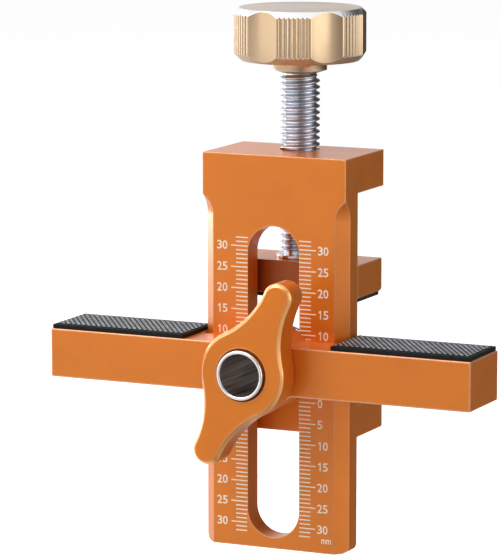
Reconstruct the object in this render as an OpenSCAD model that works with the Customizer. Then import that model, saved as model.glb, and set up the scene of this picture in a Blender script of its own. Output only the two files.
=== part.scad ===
// Clamp jig for mounting cabinet doors and their hardware, in millimetres.
// A C-shaped body has a graduated slot down its front plate. A screw through its head drives
// a jaw behind the plate. A support bar slides on the slot, and a wing lever on a hollow
// guide bolt locks it. X runs along the bar, Y from the front to the back, Z up the screw.
// The origin is on the screw's axis at the gripping face of the fixed jaw, where the lower
// scale reads zero.

/* [Clamp body] */
// Width of the plate, the head and both jaws
body_w = 36.6; // [34:0.2:44]
// Thickness of the front plate
plate_t = 7.2; // [6.8:0.1:8]
// Height of the throat, from the gripping face up to the head's underside
throat_h = 49; // [45:0.5:60]
// Thickness of the head that the screw runs through
head_t = 8.6; // [7:0.2:12]
// Depth of the head, front to back
head_depth = 22.3; // [21:0.1:26]
// How far the plate hangs below the gripping face
plate_drop = 35.7; // [30:0.1:44]
// Thickness of the fixed jaw's metal
fixed_jaw_t = 7.7; // [6:0.1:10]
// Depth of the fixed jaw, from the plate's front face
fixed_jaw_depth = 22.1; // [21.8:0.1:26]
// Chamfer down the plate's two front edges
edge_chamfer = 2.75; // [1:0.05:3]
// Length of the curved run-out at the top of each chamfer
runout_l = 4.7; // [3.2:0.1:7]
// Plain edge left between the head's underside and the run-out
runout_drop = 1.25; // [0.5:0.05:4]
// Radius of the plate's bottom corners
corner_r = 1.6; // [1:0.1:5]
// Distance from the plate's front face back to the screw's axis
screw_reach = 15; // [14.4:0.05:15.2]

/* [Slot] */
// Width of the slot
slot_w = 13.2; // [12.6:0.1:15]
// Wall left under the slot's lower end
slot_foot_wall = 2.7; // [2.2:0.05:6]
// Wall left between the slot's upper end and the head's underside
slot_top_wall = 7.95; // [3:0.05:12]
// Depth of the wider channel behind the slot
channel_depth = 1.6; // [1:0.1:2.4]
// Width of the land that the channel uncovers on each side of the slot
channel_land = 1.6; // [1.5:0.05:2]

/* [Moving jaw] */
// Opening between the two gripping faces, as photographed
jaw_opening = 23.15; // [8:0.05:36]
// Thickness of the moving jaw
moving_jaw_t = 7.8; // [6.4:0.1:10]
// How far the moving jaw stops short of the fixed jaw's back
moving_jaw_setback = 0.5; // [0:0.1:0.8]
// Depth of the chamfer at the moving jaw's lower back edge
jaw_chamfer_d = 0.9; // [0.3:0.1:1.2]
// Height of the chamfer at the moving jaw's lower back edge
jaw_chamfer_h = 0.45; // [0.2:0.05:1]
// Thickness of the jaws' rubber pads
jaw_pad_t = 1; // [0.6:0.1:2]
// How far the jaws' pads stay inside the jaws' edges
jaw_pad_inset = 0.4; // [0.2:0.1:1.5]
// How far behind the plate the fixed jaw's pad starts
fixed_pad_setback = 2.4; // [0.2:0.1:4]

/* [Clamp screw] */
// Outer diameter of the thread
thread_d = 9.4; // [8.6:0.1:10.4]
// Rise of the thread in one turn
thread_pitch = 1.5; // [1:0.25:2]
// Depth of the thread
thread_depth = 0.92; // [0.5:0.02:1]
// Length of the thread between the thrust washer and the knob's collar
thread_l = 42.85; // [36:0.05:52]
// Diameter of the journal that turns in the moving jaw
journal_d = 6; // [5:0.1:6.4]
// Depth of the groove that holds the retaining ring on the journal
ring_groove_depth = 0.6; // [0.3:0.1:0.8]
// Plain end of the journal below the retaining ring
journal_end_l = 0.8; // [0.4:0.1:1]
// Diameter of the shank inside the knob
shank_d = 6.4; // [5:0.1:6.6]
// Length of the shank inside the knob and its collar
shank_l = 11.2; // [8:0.1:12]
// Diameter of the thrust washer
thrust_washer_d = 11.2; // [10.6:0.1:13]
// Thickness of the thrust washer
thrust_washer_t = 0.8; // [0.5:0.1:1.5]
// Outer diameter of the retaining ring under the jaw
ring_d = 9.4; // [8:0.1:10]
// Thickness of the retaining ring
ring_t = 0.8; // [0.5:0.1:1.2]
// Height of the recess under the jaw that hides the retaining ring
ring_recess_h = 3; // [2.8:0.1:4]
// Diameter of that recess
ring_recess_d = 10.6; // [10.2:0.1:11]

/* [Clamp knob] */
// Diameter of the knob across its lobes
knob_d = 31.5; // [28:0.1:38]
// Height of the knob without its collar
knob_h = 12.4; // [11.5:0.1:16]
// Chamfer round the knob's top
knob_top_chamfer = 1.4; // [0.4:0.05:1.6]
// Chamfer round the knob's underside
knob_foot_chamfer = 1.85; // [0.6:0.05:2.4]
// Number of lobes
knob_lobes = 6; // [4:1:7]
// Depth of the scallops between the lobes
scallop_depth = 1.3; // [1.2:0.05:2]
// Number of grooves on each lobe
grooves_per_lobe = 7; // [3:1:9]
// Depth of the grooves on the lobes
groove_depth = 0.34; // [0.1:0.02:0.5]
// Diameter of the collar under the knob
collar_d = 12.7; // [11:0.1:15]
// Diameter of the collar's lower end
collar_foot_d = 8.2; // [7.8:0.1:9.4]
// Height of the collar
collar_h = 3; // [2.6:0.1:4]
// Height of the collar's straight upper part
collar_rim_h = 2.25; // [0.8:0.05:2.4]

/* [Support bar] */
// Length of the support bar
bar_l = 106.9; // [90:0.1:140]
// Height of the support bar
bar_h = 11.6; // [11.4:0.1:14]
// Thickness of the bar in front of the plate
bar_front_t = 10; // [8:0.1:14]
// How far the bar's two legs reach back beside the plate
bar_leg = 7.15; // [6:0.05:9]
// Diameter of the round boss in the middle of the bar
boss_d = 20.5; // [19:0.1:24]
// Radius of the hollow corners between the boss and the bar's edges
boss_fillet = 2.5; // [0.5:0.1:4]
// Height of the bar's centre above the gripping face, as photographed
bar_height = 8.9; // [-10:0.1:24]
// Thickness of the bar's rubber pads
bar_pad_t = 1.2; // [0.6:0.1:2]
// How far the bar's pads stay inside its outline
bar_pad_inset = 0.35; // [0.1:0.05:1]
// Bare metal left between each pad and the side of the plate
bar_pad_gap = 0.5; // [0.3:0.05:4]

/* [Guide bolt] */
// Outer diameter of the hollow guide bolt
bolt_d = 11.6; // [11.2:0.1:12.4]
// Bore of the guide bolt
bolt_bore = 10; // [8:0.1:10.2]
// Distance across the two flats that key the bolt in the bar
bolt_flats = 11; // [10.8:0.1:11.1]
// How far the bolt stands proud of the lever
bolt_proud = 1; // [0.2:0.1:2]
// Chamfer round the bolt's front end
bolt_chamfer = 0.15; // [0.1:0.05:0.35]
// How far the bolt's flange bears on the land on each side of the slot
flange_bearing = 1.4; // [1:0.05:1.5]

/* [Lock lever] */
// Thickness of the lever
lever_t = 7.5; // [5:0.1:10]
// Diameter of the lever's hub
hub_d = 21; // [19:0.2:26]
// Distance from the hub's centre to each lobe's centre
lobe_reach = 20.3; // [18:0.1:30]
// Diameter of each lobe
lobe_d = 7.1; // [5:0.1:10]
// Radius of the hollow flanks between the hub and the lobes
flank_r = 21; // [14:0.5:30]
// Chamfer round the lever's faces
lever_chamfer = 0.75; // [0.3:0.05:1.2]
// Chamfer round the lever's bore
lever_bore_chamfer = 0.45; // [0.1:0.05:1]
// Lean of the upper lobe to the right of upright, in degrees
lever_lean = 26; // [-80:1:80]
// Diameter of the washer behind the lever
lever_washer_d = 18; // [15:0.2:20]
// Thickness of the washer behind the lever
lever_washer_t = 0.5; // [0.3:0.1:1.5]

/* [Clearances] */
// Radial gap of the parts that turn in a bore
running_gap = 0.05; // [0.03:0.01:0.08]
// Gap between flat faces that slide past each other
slide_gap = 0.05; // [0.03:0.01:0.1]
// Gap between the bar's legs and the sides of the plate
leg_gap = 0.2; // [0.1:0.05:0.4]

/* [Hidden] */

// Turned surfaces
$fn = 96;
// Overrun of every cut past the face that it opens
cut = 1;

// Depths, measured along Y
plate_front_y = -screw_reach;
plate_back_y = plate_front_y + plate_t;
land_back_y = plate_back_y - channel_depth;
head_back_y = plate_front_y + head_depth;
fixed_jaw_back_y = plate_front_y + fixed_jaw_depth;
moving_jaw_front_y = plate_back_y + slide_gap;
moving_jaw_back_y = fixed_jaw_back_y - moving_jaw_setback;
bar_seat_y = plate_front_y - slide_gap;
bar_back_y = plate_front_y + bar_leg;
bar_front_y = plate_front_y - bar_front_t;
lever_back_y = bar_front_y - lever_washer_t;
lever_front_y = lever_back_y - lever_t;
bolt_front_y = lever_front_y - bolt_proud;
flange_front_y = land_back_y + slide_gap;
flange_back_y = plate_back_y - slide_gap;

// Heights, measured along Z
head_top_z = throat_h + head_t;
plate_foot_z = -plate_drop;
fixed_jaw_top_z = -jaw_pad_t;
fixed_jaw_foot_z = fixed_jaw_top_z - fixed_jaw_t;
slot_low_z = plate_foot_z + slot_foot_wall + slot_w / 2;
slot_high_z = throat_h - slot_top_wall - slot_w / 2;
jaw_foot_z = jaw_opening + jaw_pad_t;
jaw_top_z = jaw_foot_z + moving_jaw_t;
ring_recess_top_z = jaw_foot_z + ring_recess_h;
ring_top_z = ring_recess_top_z - slide_gap;
ring_foot_z = ring_top_z - ring_t;
journal_foot_z = ring_foot_z - slide_gap - journal_end_l;
thread_foot_z = jaw_top_z + thrust_washer_t;
collar_foot_z = thread_foot_z + thread_l;
knob_foot_z = collar_foot_z + collar_h;
knob_top_z = knob_foot_z + knob_h;
shank_top_z = collar_foot_z + shank_l;

// Chamfer run-out: an arc that leaves the chamfer's face smoothly and ends at the corner
chamfer_face_depth = edge_chamfer * cos(45);
runout_r = (pow(runout_l, 2) + pow(chamfer_face_depth, 2)) / (2 * chamfer_face_depth);
runout_foot_z = throat_h - runout_drop - runout_l;

// Thread: one crest line and one root line that climb together, between two plain rings, and
// the turn about the axis that it starts from
thread_turned = 90;
thread_steps = 24;
step_angle = 360 / thread_steps;
thread_lead_in = thread_pitch / 4;
thread_turns = floor((thread_l - 2 * thread_lead_in) / thread_pitch) - 1;
crest_steps = thread_turns * thread_steps;
root_steps = crest_steps + thread_steps;

// Knob's grip: each scallop and each row of grooves takes about half of a lobe's turn
lobe_turn = 360 / knob_lobes;
scallop_turn = lobe_turn / 2;
scallop_half_w = knob_d / 2 * sin(scallop_turn / 2);
scallop_sag = scallop_depth - knob_d / 2 * (1 - cos(scallop_turn / 2));
scallop_r = (pow(scallop_half_w, 2) + pow(scallop_sag, 2)) / (2 * scallop_sag);
grip_share = 0.93;
groove_turn = scallop_turn * grip_share / grooves_per_lobe;
groove_half_w = knob_d / 2 * tan(groove_turn / 2);
knob_turned = -71.7;

// Guide bolt's flange
flange_d = slot_w + 2 * flange_bearing;

// Bar's boss: each hollow corner is an arc that touches the boss and the bar's edge
fillet_up = bar_h / 2 + boss_fillet;
fillet_out = sqrt(pow(boss_d / 2 + boss_fillet, 2) - pow(fillet_up, 2));

// Lever's flanks: each is an arc that touches the hub and a lobe
flank_hub_reach = hub_d / 2 + flank_r;
flank_lobe_reach = lobe_d / 2 + flank_r;
flank_up = (pow(flank_hub_reach, 2) - pow(flank_lobe_reach, 2) + pow(lobe_reach, 2))
    / (2 * lobe_reach);
flank_out = sqrt(pow(flank_hub_reach, 2) - pow(flank_up, 2));

// A rod along Y between two depths
module rod_y(d, from_y, to_y) {
    translate([0, from_y, 0]) rotate([-90, 0, 0]) cylinder(d = d, h = to_y - from_y);
}

// A box between two corners
module box(low, high) {
    translate(low) cube(high - low);
}

// The slot's outline, grown on every side, between two depths
module slot_tool(grow, from_y, to_y) {
    reach = slot_w / 2 + grow;
    for (end_z = [slot_low_z, slot_high_z])
        translate([0, 0, end_z]) rod_y(2 * reach, from_y, to_y);
    box([-reach, from_y, slot_low_z], [reach, to_y, slot_high_z]);
}

// The chamfer down the plate's right front edge, with its curved run-out
module edge_tool() {
    half_w = chamfer_face_depth + cut;
    arc_y = chamfer_face_depth - runout_r;
    translate([body_w / 2, plate_front_y, 0]) rotate([0, 0, 45])
        translate([-half_w, 0, 0]) rotate([90, 0, 90]) linear_extrude(2 * half_w) {
            translate([arc_y, runout_foot_z]) circle(r = runout_r);
            translate([arc_y - runout_r, plate_foot_z - cut])
                square([2 * runout_r, runout_foot_z - plate_foot_z + cut]);
        }
}

// The plate before it is cut, with its two rounded bottom corners
module plate_blank() {
    inner_x = body_w / 2 - corner_r;
    for (side = [-1, 1])
        translate([side * inner_x, 0, plate_foot_z + corner_r])
            rod_y(2 * corner_r, plate_front_y, plate_back_y);
    box([-inner_x, plate_front_y, plate_foot_z], [inner_x, plate_back_y, throat_h]);
    box([-body_w / 2, plate_front_y, plate_foot_z + corner_r],
        [body_w / 2, plate_back_y, throat_h]);
}

// Clamp body: plate, head and fixed jaw in one piece
module body_frame() {
    color([0.86, 0.47, 0.16]) {
        difference() {
            plate_blank();
            slot_tool(0, plate_front_y - cut, plate_back_y + cut);
            slot_tool(channel_land, land_back_y, plate_back_y + cut);
            for (side = [0, 1]) mirror([side, 0, 0]) edge_tool();
        }
        box([-body_w / 2, plate_back_y, fixed_jaw_foot_z],
            [body_w / 2, fixed_jaw_back_y, fixed_jaw_top_z]);
        difference() {
            box([-body_w / 2, plate_front_y, throat_h],
                [body_w / 2, head_back_y, head_top_z]);
            translate([0, 0, throat_h - cut])
                cylinder(d = thread_d + 2 * running_gap, h = head_t + 2 * cut);
        }
    }
}

// Rubber pad on the fixed jaw
module fixed_jaw_pad() {
    pad_x = body_w / 2 - jaw_pad_inset;
    color([0.1, 0.1, 0.1])
        box([-pad_x, plate_back_y + fixed_pad_setback, fixed_jaw_top_z],
            [pad_x, fixed_jaw_back_y - jaw_pad_inset, 0]);
}

// Moving jaw, bored for the screw's journal and recessed below for its ring
module moving_jaw() {
    jaw_depth = moving_jaw_back_y - moving_jaw_front_y;
    color([0.78, 0.4, 0.13])
        difference() {
            translate([-body_w / 2, moving_jaw_front_y, jaw_foot_z])
                rotate([90, 0, 90]) linear_extrude(body_w)
                    polygon([[0, 0], [jaw_depth - jaw_chamfer_d, 0],
                        [jaw_depth, jaw_chamfer_h], [jaw_depth, moving_jaw_t],
                        [0, moving_jaw_t]]);
            translate([0, 0, jaw_foot_z - cut])
                cylinder(d = journal_d + 2 * running_gap, h = moving_jaw_t + 2 * cut);
            translate([0, 0, jaw_foot_z - cut])
                cylinder(d = ring_recess_d, h = ring_recess_h + cut);
        }
}

// Rubber pad under the moving jaw
module moving_jaw_pad() {
    pad_x = body_w / 2 - jaw_pad_inset;
    color([0.1, 0.1, 0.1])
        box([-pad_x, moving_jaw_front_y + jaw_pad_inset, jaw_opening],
            [pad_x, moving_jaw_back_y - jaw_chamfer_d, jaw_foot_z]);
}

// A flat ring round the screw's axis
module flat_ring(outer_d, inner_d, foot_z, thick) {
    translate([0, 0, foot_z])
        difference() {
            cylinder(d = outer_d, h = thick);
            translate([0, 0, -cut]) cylinder(d = inner_d, h = thick + 2 * cut);
        }
}

// Washer between the screw's shoulder and the moving jaw
module thrust_washer() {
    color([0.8, 0.8, 0.82])
        flat_ring(thrust_washer_d, journal_d + 2 * running_gap, jaw_top_z, thrust_washer_t);
}

// A point of the thread at a step of its climb
function climb(r, step, foot_z) = [
    r * cos(step * step_angle),
    r * sin(step * step_angle),
    foot_z + thread_pitch * step / thread_steps
];

// The thread with its core: plain rings below and above, with the root and crest lines between
module thread() {
    root_r = thread_d / 2 - thread_depth;
    low = [for (i = [0:thread_steps - 1]) climb(root_r, i, 0)];
    root_line = [for (i = [0:root_steps]) climb(root_r, i, thread_foot_z + thread_lead_in)];
    crest_line = [for (i = [0:crest_steps])
        climb(thread_d / 2, i, thread_foot_z + thread_lead_in + thread_pitch / 2)];
    foot_ring = [for (p = low) [p[0], p[1], thread_foot_z]];
    top_ring = [for (p = low) [p[0], p[1], collar_foot_z]];
    root = thread_steps;
    crest = root + root_steps + 1;
    top = crest + crest_steps + 1;
    last = thread_steps - 1;
    foot_wall = [for (i = [0:last - 1]) [i, i + 1, root + i + 1, root + i]];
    foot_close = [last, 0, root, root + thread_steps, root + last];
    low_flank = [for (i = [0:crest_steps - 1])
        each [[root + i, root + i + 1, crest + i + 1], [root + i, crest + i + 1, crest + i]]];
    high_flank = [for (i = [0:crest_steps - 1])
        each [[crest + i, crest + i + 1, root + i + 1 + thread_steps],
            [crest + i, root + i + 1 + thread_steps, root + i + thread_steps]]];
    top_wall = [for (i = [1:last])
        [root + crest_steps + i, root + crest_steps + i + 1,
            top + (i + 1) % thread_steps, top + i]];
    top_close = [root + crest_steps, root + crest_steps + 1, top + 1, top,
        root + root_steps];
    ends = [
        [root, crest, root + thread_steps],
        [root + crest_steps, root + root_steps, crest + crest_steps],
        [for (i = [last:-1:0]) i],
        [for (i = [0:last]) top + i]
    ];
    faces = concat(foot_wall, [foot_close], low_flank, high_flank, top_wall, [top_close], ends);
    polyhedron(points = concat(foot_ring, root_line, crest_line, top_ring),
        faces = [for (f = faces) [for (k = [len(f) - 1:-1:0]) f[k]]]);
}

// Clamp screw: thread, shank for the knob and journal for the jaw
module clamp_screw() {
    neck_d = journal_d - 2 * ring_groove_depth;
    groove_foot_z = ring_foot_z - slide_gap;
    color([0.75, 0.76, 0.78]) {
        rotate(thread_turned) thread();
        translate([0, 0, collar_foot_z]) cylinder(d = shank_d, h = shank_l);
        translate([0, 0, ring_recess_top_z])
            cylinder(d = journal_d, h = thread_foot_z - ring_recess_top_z);
        translate([0, 0, groove_foot_z])
            cylinder(d = neck_d, h = ring_recess_top_z - groove_foot_z);
        translate([0, 0, journal_foot_z]) cylinder(d = journal_d, h = journal_end_l);
    }
}

// Retaining ring that holds the moving jaw on the journal
module retaining_ring() {
    bore_d = journal_d - 2 * ring_groove_depth + 2 * running_gap;
    color([0.35, 0.35, 0.37]) flat_ring(ring_d, bore_d, ring_foot_z, ring_t);
}

// The knob's grip seen along the screw: lobes with grooves, and scallops between them
module grip_outline() {
    difference() {
        circle(d = knob_d);
        for (lobe = [0:knob_lobes - 1]) rotate(lobe * lobe_turn) {
            rotate(lobe_turn / 2)
                translate([knob_d / 2 - scallop_depth + scallop_r, 0]) circle(r = scallop_r);
            for (groove = [0:grooves_per_lobe - 1])
                rotate((groove - (grooves_per_lobe - 1) / 2) * groove_turn)
                    polygon([[knob_d / 2 - groove_depth, 0],
                        [knob_d / 2 + groove_depth, 2 * groove_half_w],
                        [knob_d / 2 + groove_depth, -2 * groove_half_w]]);
        }
    }
}

// Clamp knob, with chamfers above and below and a collar that tapers to the thread
module clamp_knob() {
    grip_r = knob_d / 2 + groove_depth;
    top_r = knob_d / 2 - knob_top_chamfer;
    foot_r = knob_d / 2 - knob_foot_chamfer;
    color([0.85, 0.68, 0.48])
        difference() {
            union() {
                intersection() {
                    translate([0, 0, knob_foot_z]) rotate(knob_turned)
                        linear_extrude(knob_h) grip_outline();
                    rotate_extrude()
                        polygon([[0, knob_foot_z], [foot_r, knob_foot_z],
                            [grip_r, knob_foot_z + knob_foot_chamfer + groove_depth],
                            [grip_r, knob_top_z - knob_top_chamfer - groove_depth],
                            [top_r, knob_top_z], [0, knob_top_z]]);
                }
                rotate_extrude()
                    polygon([[0, collar_foot_z], [collar_foot_d / 2, collar_foot_z],
                        [collar_d / 2, knob_foot_z - collar_rim_h],
                        [collar_d / 2, knob_foot_z], [0, knob_foot_z]]);
            }
            translate([0, 0, collar_foot_z - cut])
                cylinder(d = shank_d + 2 * running_gap, h = shank_l + slide_gap + cut);
        }
}

// The guide bolt's section inside the bar: round, with a flat above and below
module keyed_rod(grow, from_y, to_y) {
    intersection() {
        rod_y(bolt_d + 2 * grow, from_y, to_y);
        box([-bolt_d, from_y, -bolt_flats / 2 - grow], [bolt_d, to_y, bolt_flats / 2 + grow]);
    }
}

// The bar's front part: a round boss that runs into the bar's edges
module bar_boss() {
    rod_y(boss_d, bar_front_y, bar_seat_y);
    for (side = [-1, 1]) for (rise = [-1, 1])
        translate([0, bar_seat_y, 0]) rotate([90, 0, 0])
            linear_extrude(bar_seat_y - bar_front_y)
                difference() {
                    polygon([[0, 0], [side * fillet_out, rise * bar_h / 2],
                        [side * fillet_out, rise * fillet_up]]);
                    translate([side * fillet_out, rise * fillet_up])
                        circle(r = boss_fillet);
                }
}

// Support bar with its boss, notched behind to straddle the plate and bored for the bolt
module support_bar() {
    notch_x = body_w / 2 + leg_gap;
    color([0.88, 0.49, 0.17])
        translate([0, 0, bar_height])
            difference() {
                union() {
                    box([-bar_l / 2, bar_front_y, -bar_h / 2],
                        [bar_l / 2, bar_back_y, bar_h / 2]);
                    bar_boss();
                }
                box([-notch_x, bar_seat_y, -bar_h / 2 - cut],
                    [notch_x, bar_back_y + cut, bar_h / 2 + cut]);
                keyed_rod(running_gap, bar_front_y - cut, bar_seat_y + cut);
            }
}

// Rubber pad on one arm of the bar, drawn for the right arm
module bar_pad() {
    color([0.12, 0.12, 0.13])
        translate([0, 0, bar_height + bar_h / 2])
            box([body_w / 2 + bar_pad_gap, bar_front_y + bar_pad_inset, 0],
                [bar_l / 2 - bar_pad_inset, bar_back_y - bar_pad_inset, bar_pad_t]);
}

module bar_pad_right() {
    bar_pad();
}

module bar_pad_left() {
    mirror([1, 0, 0]) bar_pad();
}

// Hollow guide bolt: the lever turns on its front end and its flange runs in the channel
module guide_bolt() {
    color([0.8, 0.8, 0.82])
        translate([0, 0, bar_height])
            difference() {
                union() {
                    translate([0, bolt_front_y, 0]) rotate([-90, 0, 0])
                        cylinder(d1 = bolt_d - 2 * bolt_chamfer, d2 = bolt_d,
                            h = bolt_chamfer);
                    rod_y(bolt_d, bolt_front_y + bolt_chamfer, bar_front_y);
                    keyed_rod(0, bar_front_y, plate_front_y);
                    rod_y(bolt_d, plate_front_y, flange_front_y);
                    rod_y(flange_d, flange_front_y, flange_back_y);
                }
                rod_y(bolt_bore, bolt_front_y - cut, flange_back_y + cut);
            }
}

// Washer between the lever and the bar
module lever_washer() {
    color([0.7, 0.7, 0.72])
        translate([0, 0, bar_height])
            difference() {
                rod_y(lever_washer_d, lever_back_y, bar_front_y);
                rod_y(bolt_d + 2 * running_gap, lever_back_y - cut, bar_front_y + cut);
            }
}

// One layer of the lever, which draws in from one inset to another over its height
module lever_layer(h, low_inset, high_inset) {
    slope = (high_inset - low_inset) / h;
    cylinder(r1 = hub_d / 2 - low_inset, r2 = hub_d / 2 - high_inset, h = h);
    for (end = [0, 1]) rotate(end * 180) {
        translate([0, lobe_reach, 0])
            cylinder(r1 = lobe_d / 2 - low_inset, r2 = lobe_d / 2 - high_inset, h = h);
        for (side = [-1, 1]) difference() {
            linear_extrude(h)
                polygon([[0, 0], [0, lobe_reach], [side * flank_out, flank_up]]);
            translate([side * flank_out, flank_up, -cut])
                cylinder(r1 = flank_r + low_inset - slope * cut,
                    r2 = flank_r + high_inset + slope * cut, h = h + 2 * cut);
        }
    }
}

// Wing lever, chamfered round both faces and threaded on the guide bolt
module lock_lever() {
    color([0.84, 0.46, 0.17])
        translate([0, lever_back_y, bar_height]) rotate([90, 0, 0]) rotate(-lever_lean)
            difference() {
                union() {
                    lever_layer(lever_chamfer, lever_chamfer, 0);
                    translate([0, 0, lever_chamfer])
                        lever_layer(lever_t - 2 * lever_chamfer, 0, 0);
                    translate([0, 0, lever_t - lever_chamfer])
                        lever_layer(lever_chamfer, 0, lever_chamfer);
                }
                translate([0, 0, -cut])
                    cylinder(d = bolt_d + 2 * running_gap, h = lever_t + 2 * cut);
                translate([0, 0, lever_t - lever_bore_chamfer])
                    cylinder(d1 = bolt_d + 2 * running_gap,
                        d2 = bolt_d + 2 * running_gap + 4 * lever_bore_chamfer,
                        h = 2 * lever_bore_chamfer);
            }
}

body_frame();
fixed_jaw_pad();
moving_jaw();
moving_jaw_pad();
thrust_washer();
clamp_screw();
retaining_ring();
clamp_knob();
support_bar();
bar_pad_left();
bar_pad_right();
guide_bolt();
lever_washer();
lock_lever();
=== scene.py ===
"""Cabinet hardware jig: finishes, softened edges, scale marks and studio round the CAD frame.

Metres, X along the support bar, Y from the front to the back, Z up the clamp screw. The origin
is on the screw's axis at the gripping face of the fixed jaw.
"""

import math

import bmesh
import bpy
from mathutils import Matrix, Vector


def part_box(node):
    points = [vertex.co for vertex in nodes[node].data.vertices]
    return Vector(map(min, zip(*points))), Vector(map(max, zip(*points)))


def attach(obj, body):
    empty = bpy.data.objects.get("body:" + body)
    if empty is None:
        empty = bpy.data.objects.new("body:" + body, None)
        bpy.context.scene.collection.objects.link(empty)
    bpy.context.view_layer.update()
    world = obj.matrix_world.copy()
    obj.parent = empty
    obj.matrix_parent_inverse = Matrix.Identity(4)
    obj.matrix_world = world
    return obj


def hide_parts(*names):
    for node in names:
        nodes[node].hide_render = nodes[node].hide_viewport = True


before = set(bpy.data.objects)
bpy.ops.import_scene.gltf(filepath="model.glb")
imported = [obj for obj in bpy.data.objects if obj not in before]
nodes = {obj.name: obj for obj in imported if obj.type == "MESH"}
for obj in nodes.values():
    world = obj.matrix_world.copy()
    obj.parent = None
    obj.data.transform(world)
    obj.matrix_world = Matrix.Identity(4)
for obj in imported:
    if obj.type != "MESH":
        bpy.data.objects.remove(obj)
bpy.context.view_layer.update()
scene = bpy.context.scene
MM = 0.001
# Where the clamp screw and the guide bolt have their axes, in millimetres
SCREW_AXIS = (0, 0, 0)
BOLT_AXIS = (0, 0, 8.9)


# Material helpers

class Shader:
    """A small builder for one procedural material."""

    def __init__(self, name):
        self.mat = bpy.data.materials.new(name)
        self.mat.use_nodes = True
        self.tree = self.mat.node_tree
        self.bsdf = self.tree.nodes["Principled BSDF"]
        self.coord = self.node("ShaderNodeTexCoord").outputs["Object"]

    def node(self, kind, **settings):
        made = self.tree.nodes.new(kind)
        for key, value in settings.items():
            setattr(made, key, value)
        return made

    def link(self, source, target):
        self.tree.links.new(source, target)

    def fill(self, node, **inputs):
        """Sets a node's sockets: links another node's output, or writes a plain value."""
        for key, value in inputs.items():
            socket = node.inputs[key.replace("_", " ")]
            if isinstance(value, bpy.types.NodeSocket):
                self.link(value, socket)
            else:
                socket.default_value = value
        return node

    def set(self, **inputs):
        self.fill(self.bsdf, **inputs)

    def place(self, scale=(1, 1, 1), turn=(0, 0, 0)):
        made = self.node("ShaderNodeMapping")
        self.link(self.coord, made.inputs["Vector"])
        made.inputs["Scale"].default_value = scale
        made.inputs["Rotation"].default_value = [math.radians(a) for a in turn]
        return made.outputs["Vector"]

    def noise(self, scale, detail=3, rough=0.5, vector=None):
        made = self.node("ShaderNodeTexNoise")
        self.fill(made, Vector=vector or self.coord, Scale=scale, Detail=detail, Roughness=rough)
        return made.outputs["Fac"]

    def ramp(self, value, *stops):
        made = self.node("ShaderNodeValToRGB")
        self.link(value, made.inputs["Fac"])
        band = made.color_ramp
        while len(band.elements) < len(stops):
            band.elements.new(0.5)
        for element, (position, colour) in zip(band.elements, stops):
            element.position = position
            if isinstance(colour, (int, float)):
                colour = (colour, colour, colour)
            element.color = (*colour, 1)
        return made.outputs["Color"]

    def span(self, value, from_low, from_high, to_low, to_high):
        made = self.node("ShaderNodeMapRange")
        self.link(value, made.inputs["Value"])
        for key, number in (("From Min", from_low), ("From Max", from_high),
                            ("To Min", to_low), ("To Max", to_high)):
            made.inputs[key].default_value = number
        return made.outputs["Result"]

    def math(self, operation, a, b=None):
        made = self.node("ShaderNodeMath", operation=operation)
        for socket, value in zip(made.inputs, (a, b)):
            if isinstance(value, bpy.types.NodeSocket):
                self.link(value, socket)
            elif value is not None:
                socket.default_value = value
        return made.outputs["Value"]

    def mix(self, factor, a, b):
        made = self.node("ShaderNodeMix", data_type="RGBA")
        for socket, value in ((made.inputs[0], factor), (made.inputs[6], a), (made.inputs[7], b)):
            if isinstance(value, bpy.types.NodeSocket):
                self.link(value, socket)
            elif isinstance(value, (int, float)):
                socket.default_value = value
            else:
                socket.default_value = (*value, 1)
        return made.outputs[2]

    def bump(self, height, strength, distance, under=None):
        made = self.node("ShaderNodeBump")
        self.fill(made, Height=height, Strength=strength, Distance=distance)
        if under:
            self.link(under, made.inputs["Normal"])
        return made.outputs["Normal"]

    def edges(self, radius):
        """How far the surface turns within a radius: 0 on a flat, more along an edge."""
        bevel = self.node("ShaderNodeBevel", samples=4)
        bevel.inputs["Radius"].default_value = radius
        geometry = self.node("ShaderNodeNewGeometry")
        dot = self.node("ShaderNodeVectorMath", operation="DOT_PRODUCT")
        self.link(bevel.outputs["Normal"], dot.inputs[0])
        self.link(geometry.outputs["Normal"], dot.inputs[1])
        return self.math("SUBTRACT", 1.0, dot.outputs["Value"])


def anodised(name, colour, worn_and_highlit, metal, roughness, coat, coat_roughness, blast=1.0, edge_pale_share=0.75):
    """Bead-blasted, dyed and sealed aluminium, paler along its edges: partly rubbed wear, partly a
    painted highlight line.
    """
    s = Shader(name)
    cloud = s.noise(55, 4, 0.6)
    grain = s.noise(2600, 2, 0.6)
    # The paler edge colour is partly rubbed wear and partly a painted highlight along every edge
    edge_wear_and_highlight = s.ramp(s.edges(0.00045), (0.01, 0), (0.06, 1))
    base = s.mix(s.span(cloud, 0.3, 0.7, 0, 1), [c * 0.95 for c in colour],
                 [min(1, c * 1.05) for c in colour])
    patchy = s.span(s.noise(700, 3), 0.35, 0.65, edge_pale_share * 0.6, edge_pale_share)
    base = s.mix(s.math("MULTIPLY", edge_wear_and_highlight, patchy), base, worn_and_highlit)
    rough = s.span(s.noise(140, 4, 0.65), 0.3, 0.7, roughness - 0.035, roughness + 0.035)
    normal = s.bump(s.noise(5200, 2, 0.7), 0.16 * blast, 0.00003)
    normal = s.bump(grain, 0.10 * blast, 0.00006, normal)
    s.set(Base_Color=base, Roughness=rough, Normal=normal)
    s.bsdf.inputs["Metallic"].default_value = metal
    s.bsdf.inputs["Coat Weight"].default_value = coat
    s.bsdf.inputs["Coat Roughness"].default_value = coat_roughness
    s.bsdf.inputs["Coat IOR"].default_value = 1.42
    return s.mat


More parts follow.
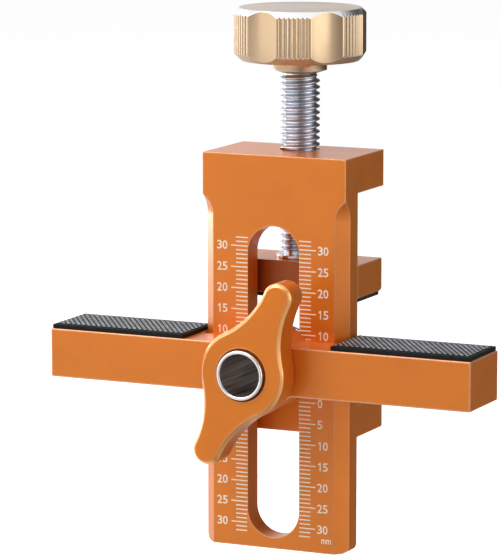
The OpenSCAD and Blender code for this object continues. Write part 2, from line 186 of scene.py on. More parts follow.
def turned(name, colour, roughness, streak, axis="Z", low=0.93):
    """Turned metal: fine rings round an axis, with a little tone variation."""
    s = Shader(name)
    rings = s.node("ShaderNodeTexWave", wave_type="RINGS", rings_direction=axis)
    s.fill(rings, Vector=s.coord, Scale=1400, Distortion=1.4, Detail=3, Detail_Scale=2)
    long = {"X": (1, 60, 60), "Y": (60, 1, 60), "Z": (60, 60, 1)}[axis]
    tone = s.noise(30, 3, 0.6, s.place(scale=long))
    base = s.mix(s.span(tone, 0.3, 0.7, 0, 1), [c * low for c in colour], colour)
    rough = s.span(tone, 0.3, 0.7, roughness, roughness + 0.06)
    normal = s.bump(rings.outputs["Fac"], streak, 0.00002)
    normal = s.bump(s.noise(900, 3), 0.03, 0.0001, normal)
    s.set(Base_Color=base, Metallic=1.0, Roughness=rough, Normal=normal)
    return s.mat


def rubber(name, colour, roughness, pitch, grain=0.35, gloss=0.5):
    """Moulded rubber with a fine woven grain."""
    s = Shader(name)
    first = s.node("ShaderNodeTexWave", wave_type="BANDS", bands_direction="DIAGONAL")
    s.fill(first, Vector=s.place(turn=(0, 0, 45)), Scale=pitch, Distortion=0.6)
    dust = s.noise(420, 5, 0.7)
    base = s.mix(s.span(dust, 0.45, 0.75, 0, 1), colour, [c * 2.4 + 0.004 for c in colour])
    rough = s.span(dust, 0.3, 0.7, roughness - 0.08, roughness + 0.1)
    normal = s.bump(first.outputs["Fac"], 0.12, 0.00005)
    normal = s.bump(s.noise(3800, 4, 0.7), grain, 0.00008, normal)
    s.set(Base_Color=base, Metallic=0.0, Roughness=rough, Normal=normal)
    s.bsdf.inputs["Specular IOR Level"].default_value = gloss
    return s.mat


# The worn edge colours also serve as painted edge highlights; the bar's edges get the palest
ORANGE = (0.785, 0.214, 0.011)
ORANGE_WORN_AND_HIGHLIT = (1.0, 0.76, 0.50)
ORANGE_EDGE_HIGHLIGHT = (1.0, 0.86, 0.68)
CHAMPAGNE = (0.62, 0.44, 0.27)
CHAMPAGNE_WORN_AND_HIGHLIT = (0.95, 0.86, 0.76)

orange = anodised("orange_anodised_finish", ORANGE, ORANGE_WORN_AND_HIGHLIT, 0.6, 0.5, 0.8, 0.2, edge_pale_share=0.7)
bar_orange = anodised("bar_anodised_finish", ORANGE, ORANGE_EDGE_HIGHLIGHT, 0.6, 0.5, 0.75, 0.2, edge_pale_share=1.0)
lever_orange = anodised("lever_anodised_finish", ORANGE, ORANGE_WORN_AND_HIGHLIT, 0.6, 0.5, 0.5, 0.2, edge_pale_share=0.7)
champagne = anodised("champagne_anodised_finish", CHAMPAGNE, CHAMPAGNE_WORN_AND_HIGHLIT, 0.95, 0.24, 0.4, 0.12,
                     blast=0.1, edge_pale_share=0.35)
# A paler, glossier orange for the lever's chamfers: painted highlight
lever_chamfer_painted_highlight = anodised("lever_chamfer_painted_highlight_finish", (0.92, 0.42, 0.13), (1.0, 0.82, 0.62), 0.9, 0.3,
                      0.9, 0.12, blast=0.4, edge_pale_share=0.6)
zinc = turned("zinc_steel_finish", (0.70, 0.72, 0.76), 0.17, 0.05)
thread_zinc = turned("thread_zinc_finish", (0.78, 0.81, 0.88), 0.2, 0.02)
# A darker copy of the thread's zinc for its upward flanks: painted shade
thread_flank_painted_shade = turned("thread_flank_painted_shade_finish", (0.36, 0.38, 0.43), 0.3, 0.02)
polished = turned("polished_steel_finish", (1.0, 0.98, 0.97), 0.09, 0.04, axis="Y", low=0.85)
dark_bore = turned("bolt_bore_finish", (0.82, 0.72, 0.67), 0.4, 0.6, axis="Y", low=0.25)
# A darker orange for the jaw's front face, seen through the slot: painted shade
jaw_front_painted_shade = anodised("jaw_front_painted_shade_finish", (0.38, 0.085, 0.006), (0.5, 0.16, 0.03), 0.6, 0.5,
                     0.5, 0.2)
# A dark orange for the lever's chamfer round the bolt: painted shade in the crevice
lever_gap_painted_shade = anodised("lever_gap_painted_shade_finish", (0.24, 0.06, 0.005), (0.26, 0.07, 0.01), 0.3, 0.7,
                     0.0, 0.3)
knob_cut = anodised("knob_chamfer_finish", (0.86, 0.87, 0.90), (0.95, 0.95, 0.95), 1.0, 0.26,
                    0.0, 0.1, blast=0.1)
knob_foot = anodised("knob_foot_finish", (0.58, 0.42, 0.26), CHAMPAGNE_WORN_AND_HIGHLIT, 0.8, 0.5,
                     0.5, 0.3, blast=0.2)
spring = turned("spring_steel_finish", (0.34, 0.34, 0.36), 0.34, 0.1)
pad_rubber = rubber("black_rubber_finish", (0.011, 0.011, 0.013), 0.5, 900)
knurl_rubber = rubber("knurled_rubber_finish", (0.006, 0.006, 0.007), 0.6, 1500, grain=0.3,
                      gloss=0.2)
# A pale grey for the studs' flat tops: painted sheen on the rubber
knurl_crest_painted_sheen = rubber("knurled_crest_painted_sheen_finish", (0.31, 0.325, 0.36), 0.38, 1500, grain=0.03,
                   gloss=0.4)


def mark_ink():
    """The pale filling of the scale's lines and figures."""
    s = Shader("scale_mark_finish")
    speckle = s.noise(3000, 3, 0.7)
    base = s.ramp(speckle, (0.3, (1.0, 0.82, 0.60)), (0.6, (1.0, 0.93, 0.78)))
    s.set(Base_Color=base, Normal=s.bump(speckle, 0.2, 0.00002))
    s.bsdf.inputs["Roughness"].default_value = 0.55
    return s.mat


ink = mark_ink()


# Mesh helpers

def add(name, bm, material, body, slot, *replaced, smooth=True):
    """Turns a bmesh into a piece that rides a body."""
    mesh = bpy.data.meshes.new(name)
    bmesh.ops.recalc_face_normals(bm, faces=bm.faces)
    for face in bm.faces:
        face.smooth = smooth
    bm.to_mesh(mesh)
    bm.free()
    mesh.materials.append(material)
    piece = bpy.data.objects.new(name, mesh)
    scene.collection.objects.link(piece)
    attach(piece, body)
    if replaced:
        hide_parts(*replaced)
    return piece


def soften(piece, width, angle=25):
    """Rounds every edge that turns by more than an angle."""
    bevel = piece.modifiers.new("edge", "BEVEL")
    bevel.width = width
    bevel.segments = 3
    bevel.limit_method = "ANGLE"
    bevel.angle_limit = math.radians(angle)
    bevel.use_clamp_overlap = True
    bevel.miter_outer = "MITER_ARC"
    normals = piece.modifiers.new("normals", "WEIGHTED_NORMAL")
    normals.mode = "FACE_AREA_WITH_ANGLE"
    normals.weight = 100
    normals.keep_sharp = False


def from_node(node):
    """The mesh of a CAD node, with its flat faces joined again."""
    bm = bmesh.new()
    bm.from_mesh(nodes[node].data)
    bmesh.ops.remove_doubles(bm, verts=bm.verts, dist=0.000002)
    bmesh.ops.dissolve_degenerate(bm, edges=bm.edges, dist=0.000001)
    bmesh.ops.dissolve_limit(bm, angle_limit=math.radians(0.4), verts=bm.verts, edges=bm.edges)
    return bm


def lathe(profile, steps, centre, axis="Z"):
    """A closed profile of (radius, height) points turned round an axis."""
    bm = bmesh.new()
    rows = []
    for k in range(steps):
        a = math.tau * k / steps
        row = []
        for r, h in profile:
            x, y = r * math.cos(a), r * math.sin(a)
            point = (x, y, h) if axis == "Z" else (x, h, y)
            row.append(bm.verts.new(Vector(point) * MM + Vector(centre) * MM))
        rows.append(row)
    count = len(profile)
    for k in range(steps):
        here, there = rows[k], rows[(k + 1) % steps]
        for j in range(count):
            i = (j + 1) % count
            bm.faces.new((here[j], here[i], there[i], there[j]))
    return bm


def rounded(corners, radius, steps=3):
    """A closed outline with each corner rounded, from (x, y) points and an optional radius."""
    out = []
    count = len(corners)
    for k in range(count):
        before = Vector(corners[k - 1][:2])
        here = Vector(corners[k][:2])
        after = Vector(corners[(k + 1) % count][:2])
        r = corners[k][2] if len(corners[k]) > 2 else radius
        u = (before - here).normalized()
        v = (after - here).normalized()
        half = u.angle(v) / 2
        if r <= 0 or half > math.radians(89):
            out.append(tuple(here))
            continue
        back = r / math.tan(half)
        centre = here + (u + v).normalized() * (r / math.sin(half))
        start = here + u * back - centre
        swing = start.angle_signed(here + v * back - centre)
        for n in range(steps + 1):
            point = centre + Matrix.Rotation(-swing * n / steps, 2) @ start
            out.append((point.x, point.y))
    return out


# The clamp body, the moving jaw and the support bar: the CAD forms with softened edges

BODY_EDGE = 0.24
BAR_EDGE = 0.32

for name, node, body, width in (("clamp_body", "body_frame", "frame", BODY_EDGE),
                                ("screw_jaw", "moving_jaw", "jaw", BODY_EDGE),
                                ("slide_bar", "support_bar", "bar", BAR_EDGE)):
    finish = bar_orange if name == "slide_bar" else orange
    piece = add(name, from_node(node), finish, body, "orange_anodised", node)
    if name == "screw_jaw":
        # The jaw's front face takes the darker orange: painted shade where the slot lets little
        # light in
        piece.data.materials.append(jaw_front_painted_shade)
        for face in piece.data.polygons:
            if face.normal.y < -0.9:
                face.material_index = 1
    soften(piece, width * MM)

# The wing lever: its bevelled rim carries a paler painted highlight, and the chamfer round the
# bolt a painted shade

LEVER_EDGE = 0.14
GAP_REACH = 7.5

lever = add("wing_lever", from_node("lock_lever"), lever_orange, "lever", "orange_anodised",
            "lock_lever")
lever.data.materials.append(lever_chamfer_painted_highlight)
lever.data.materials.append(lever_gap_painted_shade)
# Chamfers that look forward take the painted highlight, those close round the bolt the painted
# shade
for face in lever.data.polygons:
    if 0.3 < abs(face.normal.y) < 0.95:
        near_bolt = math.hypot(face.center.x, face.center.z - BOLT_AXIS[2] * MM) < GAP_REACH * MM
        face.material_index = 2 if near_bolt else 1
soften(lever, LEVER_EDGE * MM, angle=22)

# The guide bolt and the two washers

BOLT_R = 5.8
BORE_R = 5.0
BOLT_FRONT = -34.0
FLANGE_R = 8.0
FLANGE_FRONT = -9.35
FLANGE_BACK = -7.85
SHIM_BORE_R = 5.85
SHIM_R = 9.0
SHIM_FRONT = -25.5
SHIM_BACK = -25.0
THRUST_BORE_R = 3.05
THRUST_R = 5.6
THRUST_LOW = 31.95
THREAD_FOOT = 32.75

bolt_profile = rounded([
    (BORE_R, BOLT_FRONT, 0.28), (BOLT_R, BOLT_FRONT, 0.32), (BOLT_R, FLANGE_FRONT, 0.05),
    (FLANGE_R, FLANGE_FRONT, 0.15), (FLANGE_R, FLANGE_BACK, 0.15), (BORE_R, FLANGE_BACK, 0.14),
], 0.1)
bolt = add("hollow_guide_bolt", lathe(bolt_profile, 128, BOLT_AXIS, "Y"), polished, "bar",
           "polished_steel", "guide_bolt")
bolt.data.materials.append(dark_bore)
for face in bolt.data.polygons:
    middle = face.center / MM - Vector(BOLT_AXIS)
    if math.hypot(middle.x, middle.z) < BORE_R + 0.01:
        face.material_index = 1

shim_profile = rounded([(SHIM_BORE_R, SHIM_FRONT), (SHIM_R, SHIM_FRONT), (SHIM_R, SHIM_BACK),
                        (SHIM_BORE_R, SHIM_BACK)], 0.1)
add("lever_shim", lathe(shim_profile, 128, BOLT_AXIS, "Y"), zinc, "washer", "zinc_steel",
    "lever_washer")

thrust_profile = rounded([(THRUST_BORE_R, THRUST_LOW), (THRUST_R, THRUST_LOW),
                          (THRUST_R, THREAD_FOOT), (THRUST_BORE_R, THREAD_FOOT)], 0.15)
add("screw_thrust_washer", lathe(thrust_profile, 96, SCREW_AXIS), zinc, "jaw", "zinc_steel",
    "thrust_washer")

# The clamp screw: a helical thread with rounded crests and roots

PITCH = 1.5
CREST_R = 4.7
ROOT_R = 3.78
THREAD_TOP = 75.6
JOURNAL_R = 3.0
JOURNAL_LOW = 25.45
RING_GROOVE_R = 2.4
RING_GROOVE = (26.25, 27.15)
STEM_R = 3.2
STEM_TOP = 86.8
STEM_CHAMFER = 0.3
TURN_STEPS = 72
RUN_OUT = 0.9
THREAD_TURNED = math.radians(90)
THREAD_PROFILE = [
    (ROOT_R, 0.0), (ROOT_R, 0.10), (ROOT_R + 0.06, 0.17), (CREST_R - 0.09, 0.60),
    (CREST_R - 0.02, 0.67), (CREST_R, 0.75), (CREST_R - 0.02, 0.83), (CREST_R - 0.09, 0.90),
    (ROOT_R + 0.06, 1.33), (ROOT_R, 1.40),
]


def rod(bm, profile, steps=96):
    """Adds a solid turned round the screw's axis, from the foot of the axis to its top."""
    rows = []
    for k in range(steps):
        a = math.tau * k / steps
        rows.append([bm.verts.new((r * math.cos(a) * MM, r * math.sin(a) * MM, z * MM))
                     for r, z in profile])
    for k, here in enumerate(rows):
        there = rows[(k + 1) % steps]
        for j in range(len(profile) - 1):
            bm.faces.new((here[j], there[j], there[j + 1], here[j + 1]))
    bm.faces.new([row[0] for row in reversed(rows)])
    bm.faces.new([row[-1] for row in rows])


def thread_point(a, turn, lift, r, h):
    """A point of the thread, faded to the core at both ends and kept between them."""
    z = THREAD_FOOT + turn * PITCH + lift + h
    fade = min((z - THREAD_FOOT - 0.2) / RUN_OUT, (THREAD_TOP - 0.2 - z) / RUN_OUT)
    radius = ROOT_R + (r - ROOT_R) * min(1, max(0, fade))
    z = min(max(z, THREAD_FOOT), THREAD_TOP)
    a += THREAD_TURNED
    return Vector((radius * math.cos(a), radius * math.sin(a), z)) * MM


def thread_mesh():
    """The threaded length as one closed mesh: rows along the axis, joined a turn further on."""
    bm = bmesh.new()
    turns = range(-1, int((THREAD_TOP - THREAD_FOOT) / PITCH) + 2)
    rows = []
    for k in range(TURN_STEPS):
        a = math.tau * k / TURN_STEPS
        lift = PITCH * k / TURN_STEPS
        rows.append([bm.verts.new(thread_point(a, t, lift, r, h))
                     for t in turns for r, h in THREAD_PROFILE])
    size = len(rows[0])
    shift = len(THREAD_PROFILE)
    for k, here in enumerate(rows):
        last = k + 1 == TURN_STEPS
        there = rows[0][shift:] if last else rows[k + 1]
        for j in range(min(size, len(there)) - 1):
            bm.faces.new((here[j], there[j], there[j + 1], here[j + 1]))
    bmesh.ops.remove_doubles(bm, verts=bm.verts, dist=0.0000004)
    bmesh.ops.dissolve_degenerate(bm, edges=bm.edges, dist=0.0000002)
    bmesh.ops.holes_fill(bm, edges=[e for e in bm.edges if e.is_boundary], sides=0)
    return bm


def clamp_screw():
    """The screw: its journal with the ring's groove, the thread, and the stem in the knob."""
    bm = thread_mesh()
    low, high = RING_GROOVE
    core = JOURNAL_R - 1
    top = THREAD_FOOT + 0.05
    rod(bm, rounded([(core, JOURNAL_LOW, 0), (JOURNAL_R, JOURNAL_LOW, 0.25),
                     (JOURNAL_R, low, 0.1), (RING_GROOVE_R, low, 0), (RING_GROOVE_R, high, 0),
                     (JOURNAL_R, high, 0.1), (JOURNAL_R, top, 0), (core, top, 0)], 0.1)[:-1])
    rod(bm, [(STEM_R, THREAD_TOP - 0.05), (STEM_R, STEM_TOP - STEM_CHAMFER),
             (STEM_R - STEM_CHAMFER, STEM_TOP)])
    return bm


screw = add("thread_rod", clamp_screw(), thread_zinc, "screw", "zinc_steel", "clamp_screw")
screw.data.materials.append(thread_flank_painted_shade)
# Flanks that face upward take the darker zinc: painted shade
for face in screw.data.polygons:
    if face.normal.z > 0.3 and math.hypot(face.center.x, face.center.y) > ROOT_R * MM:
        face.material_index = 1

# The knob: one column of points for each direction, so that lobes, grooves and chamfers meet

KNOB_R = 15.75
KNOB_FOOT = 78.6
KNOB_TOP = 91.0
KNOB_TURNED = -71.7
FOOT_CHAMFER = 1.85
TOP_CHAMFER = 1.4
LOBES = 6
LOBE_TURN = 60
GROOVES = 7
GROOVE_TURN = LOBE_TURN / 2 * 0.93 / GROOVES
GROOVE_ROW = GROOVES * GROOVE_TURN
GROOVE_DEPTH = 0.34
SCALLOP_R = 11.266
SCALLOP_DEPTH = 1.3
SCALLOP_REACH = KNOB_R - SCALLOP_DEPTH + SCALLOP_R
GROOVE_STEPS = 12
SCALLOP_STEPS = 46
STEM_HOLE_R = 3.25
STEM_HOLE_TOP = 86.85
COLLAR_R = 6.35
COLLAR_CONE_R = 4.1
COLLAR_CONE_TOP = 76.35
CHAMFER_LEAST = 0.16


def grip_radius(turn):
    """The grip's radius in a direction, in degrees from the middle of a lobe."""
    phi = (turn + LOBE_TURN / 2) % LOBE_TURN - LOBE_TURN / 2
    radius = KNOB_R
    delta = math.radians(LOBE_TURN / 2 - abs(phi))
    inside = SCALLOP_R ** 2 - (SCALLOP_REACH * math.sin(delta)) ** 2
    if inside > 0:
        radius = min(radius, SCALLOP_REACH * math.cos(delta) - math.sqrt(inside))
    if abs(phi) < GROOVE_ROW / 2:
        u = abs((phi + GROOVE_ROW / 2) % GROOVE_TURN * 2 / GROOVE_TURN - 1)
        rise = min(1.0, max(0.0, (u - 0.08) / 0.76))
        rise = 0.45 * rise * rise * (3 - 2 * rise) + 0.55 * rise
        radius = min(radius, KNOB_R - GROOVE_DEPTH * (1 - rise))
    return radius


def grip_column(radius):
    """The knob's section in one direction, from its bore to the middle of its top."""
    foot = max(CHAMFER_LEAST, radius - KNOB_R + FOOT_CHAMFER)
    top = max(CHAMFER_LEAST, radius - KNOB_R + TOP_CHAMFER)
    foot_round = 0.13 if foot > 0.5 else 0.05
    top_round = 0.13 if top > 0.5 else 0.05
    return rounded([
        (2.0, STEM_HOLE_TOP, 0), (STEM_HOLE_R, STEM_HOLE_TOP, 0),
        (STEM_HOLE_R, THREAD_TOP, 0.05), (COLLAR_CONE_R, THREAD_TOP, 0.12),
        (COLLAR_R, COLLAR_CONE_TOP, 0.12), (COLLAR_R, KNOB_FOOT, 0),
        (radius - foot, KNOB_FOOT, foot_round), (radius, KNOB_FOOT + foot, foot_round),
        (radius, KNOB_TOP - top, top_round), (radius - top, KNOB_TOP, top_round),
        (2.0, KNOB_TOP, 0)], 0.1)


def grip_knob():
    """The knob, from a fine row of columns across each lobe and a coarser one between them."""
    bm = bmesh.new()
    turns = []
    gap = LOBE_TURN - GROOVE_ROW
    fine = GROOVES * GROOVE_STEPS
    for lobe in range(LOBES):
        start = lobe * LOBE_TURN - GROOVE_ROW / 2
        turns += [start + GROOVE_ROW * k / fine for k in range(fine)]
        turns += [start + GROOVE_ROW + gap * k / SCALLOP_STEPS for k in range(SCALLOP_STEPS)]
    rows = []
    for turn in turns:
        a = math.radians(turn + KNOB_TURNED)
        rows.append([bm.verts.new((r * math.cos(a) * MM, r * math.sin(a) * MM, z * MM))
                     for r, z in grip_column(grip_radius(turn))])
    for k, here in enumerate(rows):
        there = rows[(k + 1) % len(rows)]
        for j in range(len(here) - 1):
            bm.faces.new((here[j], there[j], there[j + 1], here[j + 1]))
    bm.faces.new([row[0] for row in reversed(rows)])
    bm.faces.new([row[-1] for row in rows])
    return bm


knob = add("grip_knob", grip_knob(), champagne, "screw", "champagne_anodised", "clamp_knob")
knob.data.materials.append(knob_cut)
knob.data.materials.append(knob_foot)
for face in knob.data.polygons:
    if 0.35 < face.normal.z < 0.95 and face.center.z > (KNOB_TOP - TOP_CHAMFER - 0.1) * MM:
        face.material_index = 1
    elif face.normal.z < -0.35:
        face.material_index = 2

# Rubber pads: smooth rounded ones on the jaws, knurled ones on the support bar


def slab(node, crown):
    """A thin pad with rounded edges, in the box of its CAD node."""
    low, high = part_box(node)
    bm = bmesh.new()
    bmesh.ops.create_cube(bm, size=1)
    for vert in bm.verts:
        vert.co = Vector([low[i] + (vert.co[i] + 0.5) * (high[i] - low[i]) for i in range(3)])
    bmesh.ops.bevel(bm, geom=list(bm.edges), offset=crown * MM, segments=4, profile=0.5,
                    affect="EDGES")
    return bm


JAW_PAD_EDGE = 0.22

add("fixed_jaw_rubber", slab("fixed_jaw_pad", JAW_PAD_EDGE), pad_rubber, "frame", "black_rubber",
    "fixed_jaw_pad")
add("moving_jaw_rubber", slab("moving_jaw_pad", JAW_PAD_EDGE), pad_rubber, "jaw", "black_rubber",
    "moving_jaw_pad")

STUD_X = 0.67
STUD_Y = 0.98
STUD_H = 0.2
# Each stud narrows from its foot over its shoulder to its top, as shares of the pitch
STUD_ALONG = (0.82, 0.76, 0.66)
STUD_ACROSS = (0.80, 0.74, 0.66)
PAD_EDGE = 0.25
PAD_ROUND = 0.12


def knurled_pad(node):
    """A rubber pad whose upper face carries slanting rows of small flat-topped studs."""
    low, high = (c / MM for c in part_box(node))
    bm = bmesh.new()
    deck = high.z - STUD_H
    heights = (deck - 0.05, high.z - 0.03, high.z)
    bmesh.ops.create_cube(bm, size=1)
    size = (high.x - low.x, high.y - low.y, deck - low.z)
    middle = ((high.x + low.x) / 2, (high.y + low.y) / 2, (deck + low.z) / 2)
    for vert in bm.verts:
        vert.co = Vector([middle[i] + vert.co[i] * size[i] for i in range(3)])
    bmesh.ops.bevel(bm, geom=list(bm.edges), offset=PAD_ROUND, segments=3, profile=0.5,
                    affect="EDGES")
    columns = int((size[0] - 2 * PAD_EDGE) / STUD_X)
    lines = int((size[1] - 2 * PAD_EDGE) / STUD_Y)
    step_x = (size[0] - 2 * PAD_EDGE) / columns
    step_y = (size[1] - 2 * PAD_EDGE) / lines
    for i in range(1, columns):
        for j in range(1, lines):
            if (i + j) % 2:
                continue
            x = low.x + PAD_EDGE + i * step_x
            y = low.y + PAD_EDGE + j * step_y
            rings = []
            for along, across, z in zip(STUD_ALONG, STUD_ACROSS, heights):
                rings.append([bm.verts.new((x + (a * along + b * across) * step_x / 2,
                                            y + (b * across - a * along) * step_y / 2, z))
                              for a, b in ((1, -1), (1, 1), (-1, 1), (-1, -1))])
            for lower, upper in zip(rings, rings[1:]):
                for k in range(4):
                    n = (k + 1) % 4
                    bm.faces.new((lower[k], lower[n], upper[n], upper[k]))
            # Each stud's top takes the pale grey of the painted sheen
            bm.faces.new(rings[-1]).material_index = 1
            bm.faces.new(rings[0][::-1])
    bmesh.ops.scale(bm, vec=(MM, MM, MM), verts=bm.verts)
    return bm


for side in ("left", "right"):
    pad = add("knurled_pad_" + side, knurled_pad("bar_pad_" + side), knurl_rubber, "bar",
              "knurled_rubber", "bar_pad_" + side, smooth=False)
    pad.data.materials.append(knurl_crest_painted_sheen)

# The retaining ring keeps its CAD form

ring = nodes["retaining_ring"].data
ring.materials.clear()
ring.materials.append(spring)

# The scale: fine raised marks on the plate's front face

PLATE_FRONT = -15.0
MARK_PROUD = 0.02
MARK_W = 0.29
MARK_START = 6.6
MARK_END = 9.6
LONG_MARK_END = 10.85
LAST_MARK = 32
# Where the slot's lower end comes near, the lines start a little further out
LOW_START = 6.75
LOW_START_BELOW = -26
UPPER_ZERO = 6.0
LOWER_ZERO = 0.0
DIGIT_H = 2.05
DIGIT_W = 1.25
DIGIT_STEP = 1.42
BOLD = 0.013
# Left edges of the numbers: two figures and one figure on the left, and all on the right
LEFT_PAIR = -14.5
LEFT_SINGLE = -13.0
RIGHT_START = 11.35
UNIT_AT = (13.0, -33.3)
UNIT_STEP = 1.3
UNIT_H = 1.1
UNIT_W = 1.15
ONE_SHAPE = ((0.36, 0), (0.36, 1), (0.25, 1), (0.02, 0.80), (0.02, 0.66), (0.22, 0.78), (0.22, 0))
ONE_MIDDLE = 0.24


def mark(bm, x0, x1, z):
    """One graduation line, as a thin closed bar."""
    y0, y1 = PLATE_FRONT - MARK_PROUD, PLATE_FRONT + MARK_PROUD
    low = (min(x0, x1), y0, z - MARK_W / 2)
    high = (max(x0, x1), y1, z + MARK_W / 2)
    corners = [bm.verts.new([(low, high)[(k >> i) & 1][i] * MM for i in range(3)])
               for k in range(8)]
    for face in ((0, 1, 5, 4), (2, 6, 7, 3), (0, 2, 3, 1), (4, 5, 7, 6), (0, 4, 6, 2),
                 (1, 3, 7, 5)):
        bm.faces.new([corners[k] for k in face])


def letter_mesh(text):
    """Flat generic lettering from the built-in font, as a thin closed mesh."""
    curve = bpy.data.curves.new("letters", "FONT")
    curve.body = text
    curve.extrude = 0.5
    curve.offset = BOLD
    curve.resolution_u = 3
    holder = bpy.data.objects.new("letters", curve)
    mesh = bpy.data.meshes.new_from_object(holder)
    bpy.data.objects.remove(holder)
    bpy.data.curves.remove(curve)
    return mesh


def spread(mesh):
    """The lowest and the highest corner of a mesh."""
    lows = [min(v.co[i] for v in mesh.vertices) for i in range(3)]
    highs = [max(v.co[i] for v in mesh.vertices) for i in range(3)]
    return lows, highs


def letter(bm, text, x, z0, height, width):
    """Adds one character centred on x, in a box of the given width and height."""
    mesh = letter_mesh(text)
    low, high = spread(mesh)
    start = len(bm.verts)
    bm.from_mesh(mesh)
    bm.verts.ensure_lookup_table()
    for v in bm.verts[start:]:
        u = (v.co.x - low[0]) / (high[0] - low[0]) - 0.5
        w = (v.co.y - low[1]) / (high[1] - low[1])
        t = (v.co.z - low[2]) / (high[2] - low[2])
        v.co = Vector((x + u * width, PLATE_FRONT + MARK_PROUD - t * 2 * MARK_PROUD,
                       z0 + w * height)) * MM
    bpy.data.meshes.remove(mesh)


def figure_one(bm, x, z0, height):
    """The figure 1: a stem with a slanting flag, as a thin closed mesh."""
    sides = []
    for y in (PLATE_FRONT - MARK_PROUD, PLATE_FRONT + MARK_PROUD):
        points = [(x + (u - ONE_MIDDLE) * height, y, z0 + w * height) for u, w in ONE_SHAPE]
        sides.append([bm.verts.new(Vector(point) * MM) for point in points])
    front, rear = sides
    bm.faces.new(front)
    bm.faces.new(rear[::-1])
    for k in range(len(front)):
        n = (k + 1) % len(front)
        bm.faces.new((front[k], rear[k], rear[n], front[n]))


def number(bm, value, x, z):
    """Writes a number centred on a line, with its first figure's cell at x."""
    text = str(value)
    for k, figure in enumerate(text):
        if figure == "1":
            figure_one(bm, x + k * DIGIT_STEP, z - DIGIT_H / 2, DIGIT_H)
        else:
            letter(bm, figure, x + k * DIGIT_STEP, z - DIGIT_H / 2, DIGIT_H, DIGIT_W)


def scale_marks():
    """Both scales, one up and one down, with their numbers and the unit."""
    bm = bmesh.new()
    for zero, sense in ((UPPER_ZERO, 1), (LOWER_ZERO, -1)):
        for n in range(LAST_MARK + 1):
            z = zero + sense * n
            numbered = n % 5 == 0
            start = LOW_START if z < LOW_START_BELOW else MARK_START
            end = LONG_MARK_END if numbered else MARK_END
            for side in (-1, 1):
                mark(bm, side * start, side * end, z)
            if numbered:
                left = LEFT_PAIR if n > 9 else LEFT_SINGLE
                number(bm, n, left + DIGIT_W / 2, z)
                number(bm, n, RIGHT_START + DIGIT_W / 2, z)
    for k in range(2):
        letter(bm, "m", UNIT_AT[0] + UNIT_STEP * k, UNIT_AT[1], UNIT_H, UNIT_W)
    return bm


add("scale_marks", scale_marks(), ink, "frame", "orange_anodised", smooth=False)

# Studio: a pale floor, soft lamps and a plain world

FLOOR_Z = -0.10
FLOOR_HALF = 6
FLOOR_GLOW = 0.8
FLOOR_GLOSS = 0.92
WORLD_LEVEL = 0.16
# Brightness of the studio in gloss, every 30 degrees from behind over the left to the front,
# the right and behind again
GLOSS_LEVELS = (0.08, 1.0, 1.0, 0.95, 0.9, 0.9, 0.6, 0.25, 0.7, 0.9, 0.45, 0.08, 0.08)
GLOSS_FULL = 1.12
GLOSS_HIGH = 1.3


def studio_shade(s, direction, sky=False):
    """Brightness of the studio as gloss sees it: white, dimmer in front and dark behind."""
    split = s.node("ShaderNodeSeparateXYZ")
    s.link(direction, split.inputs[0])
    forward = s.math("MULTIPLY", split.outputs["Y"], -1.0)
    azimuth = s.math("ARCTAN2", split.outputs["X"], forward)
    share = s.span(azimuth, -math.pi, math.pi, 0, 1)
    last = len(GLOSS_LEVELS) - 1
    stops = [(k / last, level) for k, level in enumerate(GLOSS_LEVELS)]
    level = s.math("MULTIPLY", s.ramp(share, *stops), GLOSS_FULL)
    if not sky:
        return level
    overhead = s.span(split.outputs["Z"], 0.6, 0.85, 0, 1)
    return s.mix(overhead, level, (GLOSS_HIGH, GLOSS_HIGH, GLOSS_HIGH))


def gloss_ray(s, path):
    """1 for a ray that comes from a glossy or a clear surface."""
    return s.math("MAXIMUM", path.outputs["Is Glossy Ray"], path.outputs["Is Transmission Ray"])


def make_floor():
    """A pale floor: white to the camera with the object's shadow, and white in gloss."""
    bm = bmesh.new()
    bmesh.ops.create_grid(bm, x_segments=2, y_segments=2, size=FLOOR_HALF)
    for vert in bm.verts:
        vert.co.z = FLOOR_Z
    mesh = bpy.data.meshes.new("studio_floor")
    bm.to_mesh(mesh)
    bm.free()
    floor = bpy.data.objects.new("studio_floor", mesh)
    scene.collection.objects.link(floor)
    s = Shader("studio_floor_finish")
    s.set(Base_Color=s.ramp(s.noise(3, 2), (0.3, 0.93), (0.7, 0.95)), Roughness=0.9)
    s.bsdf.inputs["Specular IOR Level"].default_value = 0.1
    path = s.node("ShaderNodeLightPath")
    s.bsdf.inputs["Emission Color"].default_value = (1, 1, 1, 1)
    s.link(s.math("MULTIPLY", path.outputs["Is Camera Ray"], FLOOR_GLOW),
           s.bsdf.inputs["Emission Strength"])
    mirror = s.node("ShaderNodeEmission")
    s.link(s.math("MULTIPLY", studio_shade(s, s.coord), FLOOR_GLOSS), mirror.inputs["Strength"])
    blend = s.node("ShaderNodeMixShader")
    s.link(gloss_ray(s, path), blend.inputs["Fac"])
    s.link(s.bsdf.outputs[0], blend.inputs[1])
    s.link(mirror.outputs[0], blend.inputs[2])
    s.link(blend.outputs[0], s.tree.nodes["Material Output"].inputs["Surface"])
    mesh.materials.append(s.mat)


class Sky(Shader):
    """The same builder for the world."""

    def __init__(self, name):
        self.mat = bpy.data.worlds.new(name)
        self.mat.use_nodes = True
        self.tree = self.mat.node_tree
        self.tree.nodes.clear()
        self.coord = self.node("ShaderNodeTexCoord").outputs["Generated"]


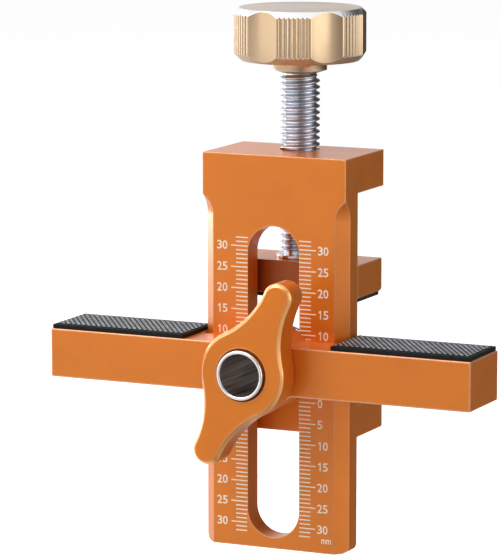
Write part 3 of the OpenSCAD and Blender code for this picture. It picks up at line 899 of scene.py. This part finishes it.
def make_world():
    """Plain soft light for matt surfaces, and white for the camera and in gloss."""
    s = Sky("studio")
    scene.world = s.mat
    path = s.node("ShaderNodeLightPath")
    plain = s.node("ShaderNodeBackground")
    plain.inputs["Color"].default_value = (0.97, 0.98, 1.0, 1)
    plain.inputs["Strength"].default_value = WORLD_LEVEL
    seen = s.node("ShaderNodeBackground")
    seen.inputs["Strength"].default_value = 1.0
    mirror = s.node("ShaderNodeBackground")
    s.link(studio_shade(s, s.coord, sky=True), mirror.inputs["Strength"])
    camera_mix = s.node("ShaderNodeMixShader")
    s.link(path.outputs["Is Camera Ray"], camera_mix.inputs["Fac"])
    s.link(plain.outputs[0], camera_mix.inputs[1])
    s.link(seen.outputs[0], camera_mix.inputs[2])
    gloss_mix = s.node("ShaderNodeMixShader")
    s.link(gloss_ray(s, path), gloss_mix.inputs["Fac"])
    s.link(camera_mix.outputs[0], gloss_mix.inputs[1])
    s.link(mirror.outputs[0], gloss_mix.inputs[2])
    out = s.node("ShaderNodeOutputWorld")
    s.link(gloss_mix.outputs[0], out.inputs["Surface"])


make_floor()
make_world()

LAMP_TARGET = Vector((0, -0.008, 0.028))
LAMP_DISTANCE = 0.9


def lamp(name, azimuth, elevation, size, power, tall=None):
    """A soft area lamp that looks at the object; azimuth 0 is in front, 90 to the right."""
    data = bpy.data.lights.new(name, "AREA")
    data.shape = "RECTANGLE"
    data.size = size
    data.size_y = tall or size
    data.energy = power
    made = bpy.data.objects.new(name, data)
    scene.collection.objects.link(made)
    a, e = math.radians(azimuth), math.radians(elevation)
    away = Vector((math.sin(a) * math.cos(e), -math.cos(a) * math.cos(e), math.sin(e)))
    made.location = LAMP_TARGET + away * LAMP_DISTANCE
    made.rotation_euler = away.to_track_quat("Z", "Y").to_euler()


lamp("key_softbox", -58, 48, 0.5, 3.7)
lamp("front_softbox", -20, 48, 0.6, 2.7)
lamp("left_softbox", -62, 8, 0.9, 1.3)
lamp("right_fill", 88, 8, 0.8, 2.3)
lamp("rim_strip", -115, 9, 0.15, 2.6, 0.8)

# Camera at the photograph's viewing angle

PICTURE_HEIGHT = 556
FOCAL_PIXELS = 3777
SENSOR = 36
AZIMUTH = math.radians(24.99)
ELEVATION = math.radians(9.09)
CAMERA_AT = (0.36229, -0.80517, 0.16799)

camera_data = bpy.data.cameras.new("camera")
camera_data.sensor_width = SENSOR
camera_data.lens = FOCAL_PIXELS / PICTURE_HEIGHT * SENSOR
camera_data.clip_start = 0.01
camera_data.clip_end = 50
camera = bpy.data.objects.new("camera", camera_data)
scene.collection.objects.link(camera)
right = Vector((math.cos(AZIMUTH), math.sin(AZIMUTH), 0))
back = Vector((math.sin(AZIMUTH) * math.cos(ELEVATION), -math.cos(AZIMUTH) * math.cos(ELEVATION),
               math.sin(ELEVATION)))
up = back.cross(right)
turn = Matrix((right, up, back)).transposed()
camera.matrix_world = Matrix.Translation(CAMERA_AT) @ turn.to_4x4()
scene.camera = camera

scene.view_settings.view_transform = "Standard"
